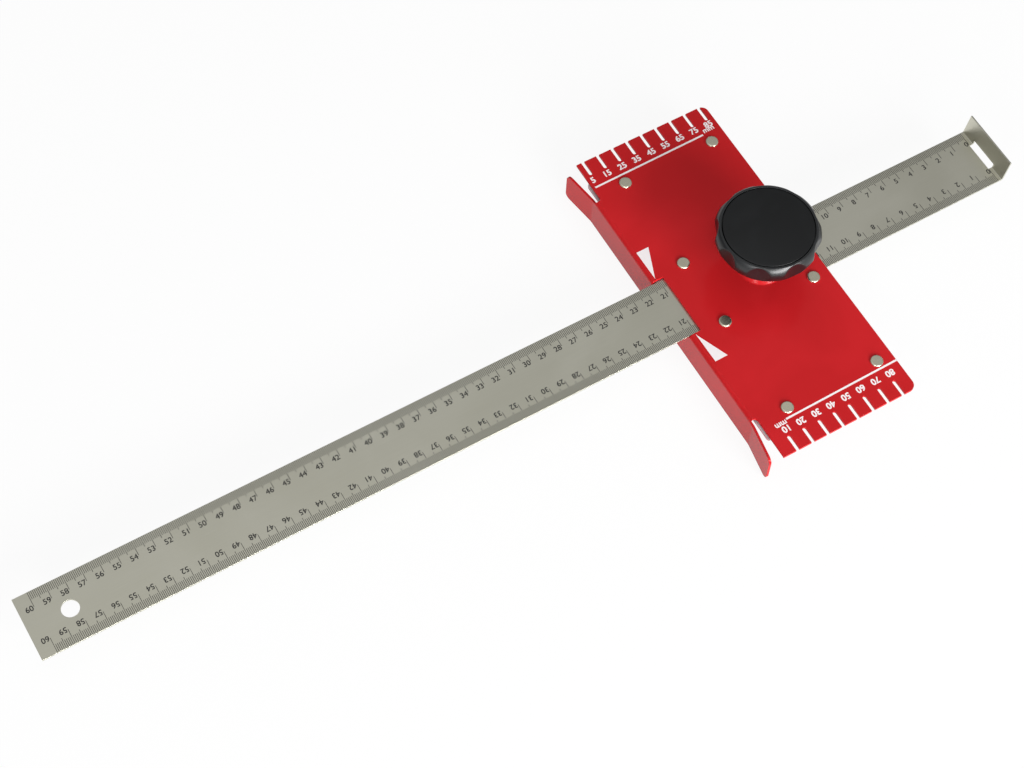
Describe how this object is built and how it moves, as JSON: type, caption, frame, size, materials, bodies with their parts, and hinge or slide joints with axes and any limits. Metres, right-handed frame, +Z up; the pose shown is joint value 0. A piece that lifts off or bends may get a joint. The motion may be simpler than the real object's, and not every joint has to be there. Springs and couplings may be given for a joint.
{
  "type": "drywall marking gauge",
  "caption": "Drywall marking gauge: folded steel ruler with a hooked zero end sliding under a red comb plate with a fence, clamped by a lobed black knob.",
  "frame": {"origin": "middle of the guiding face, the inner face of the fence that runs along the board's edge; all graduations on the comb plate count from this face", "axes": "+X over the board towards the ruler's hooked zero end, +Y along the fence towards the comb numbered from 5, +Z up out of the board towards the knob"},
  "size_m": [0.6146, 0.22, 0.0632],
  "materials": {
    "ruler_steel": "satin stainless steel with etched graduations",
    "red_paint": "glossy red powder coat with white printed scales",
    "zinc_plate": "bright zinc plated sheet steel",
    "bush_steel": "zinc plated turned steel",
    "pad_brass": "plain turned brass",
    "screw_steel": "zinc plated steel",
    "knob_plastic": "black moulded plastic, semi-gloss",
    "cap_plastic": "black moulded plastic, fine grain",
    "rivet_steel": "bare steel rivet heads",
    "spacer_steel": "zinc plated washers"
  },
  "bodies": {
    "slider": {"slider_plate": "red_paint", "backing_plate": "zinc_plate", "clamp_bush": "bush_steel", "corner_rivet_1": "rivet_steel", "corner_rivet_2": "rivet_steel", "corner_rivet_3": "rivet_steel", "corner_rivet_4": "rivet_steel", "guide_rivet_1": "rivet_steel", "guide_rivet_2": "rivet_steel", "guide_rivet_3": "rivet_steel", "guide_rivet_4": "rivet_steel", "spacer_1": "spacer_steel", "spacer_2": "spacer_steel", "spacer_3": "spacer_steel", "spacer_4": "spacer_steel"},
    "ruler": {"ruler": "ruler_steel"},
    "clamp_pad": {"pressure_pad": "pad_brass"},
    "clamp_knob": {"clamp_screw": "screw_steel", "knob_body": "knob_plastic", "knob_cap": "cap_plastic"}
  },
  "joints": [
    {"name": "ruler_slide", "type": "slide", "parent": "slider", "child": "ruler", "axis": [1, 0, 0], "range_m": [-0.1243, 0.388]},
    {"name": "pad_lift", "type": "slide", "parent": "slider", "child": "clamp_pad", "axis": [0, 0, 1], "range_m": [0, 0.00125]},
    {"name": "knob_turn", "type": "hinge", "parent": "clamp_pad", "child": "clamp_knob", "pos_m": [0.0575, 0, 0.02], "axis": [0, 0, 1], "range_deg": [0, 360]}
  ],
  "couplings": [
    {"joint": "pad_lift", "follows": "knob_turn", "m_per_rad": 0.0001989}
  ]
}
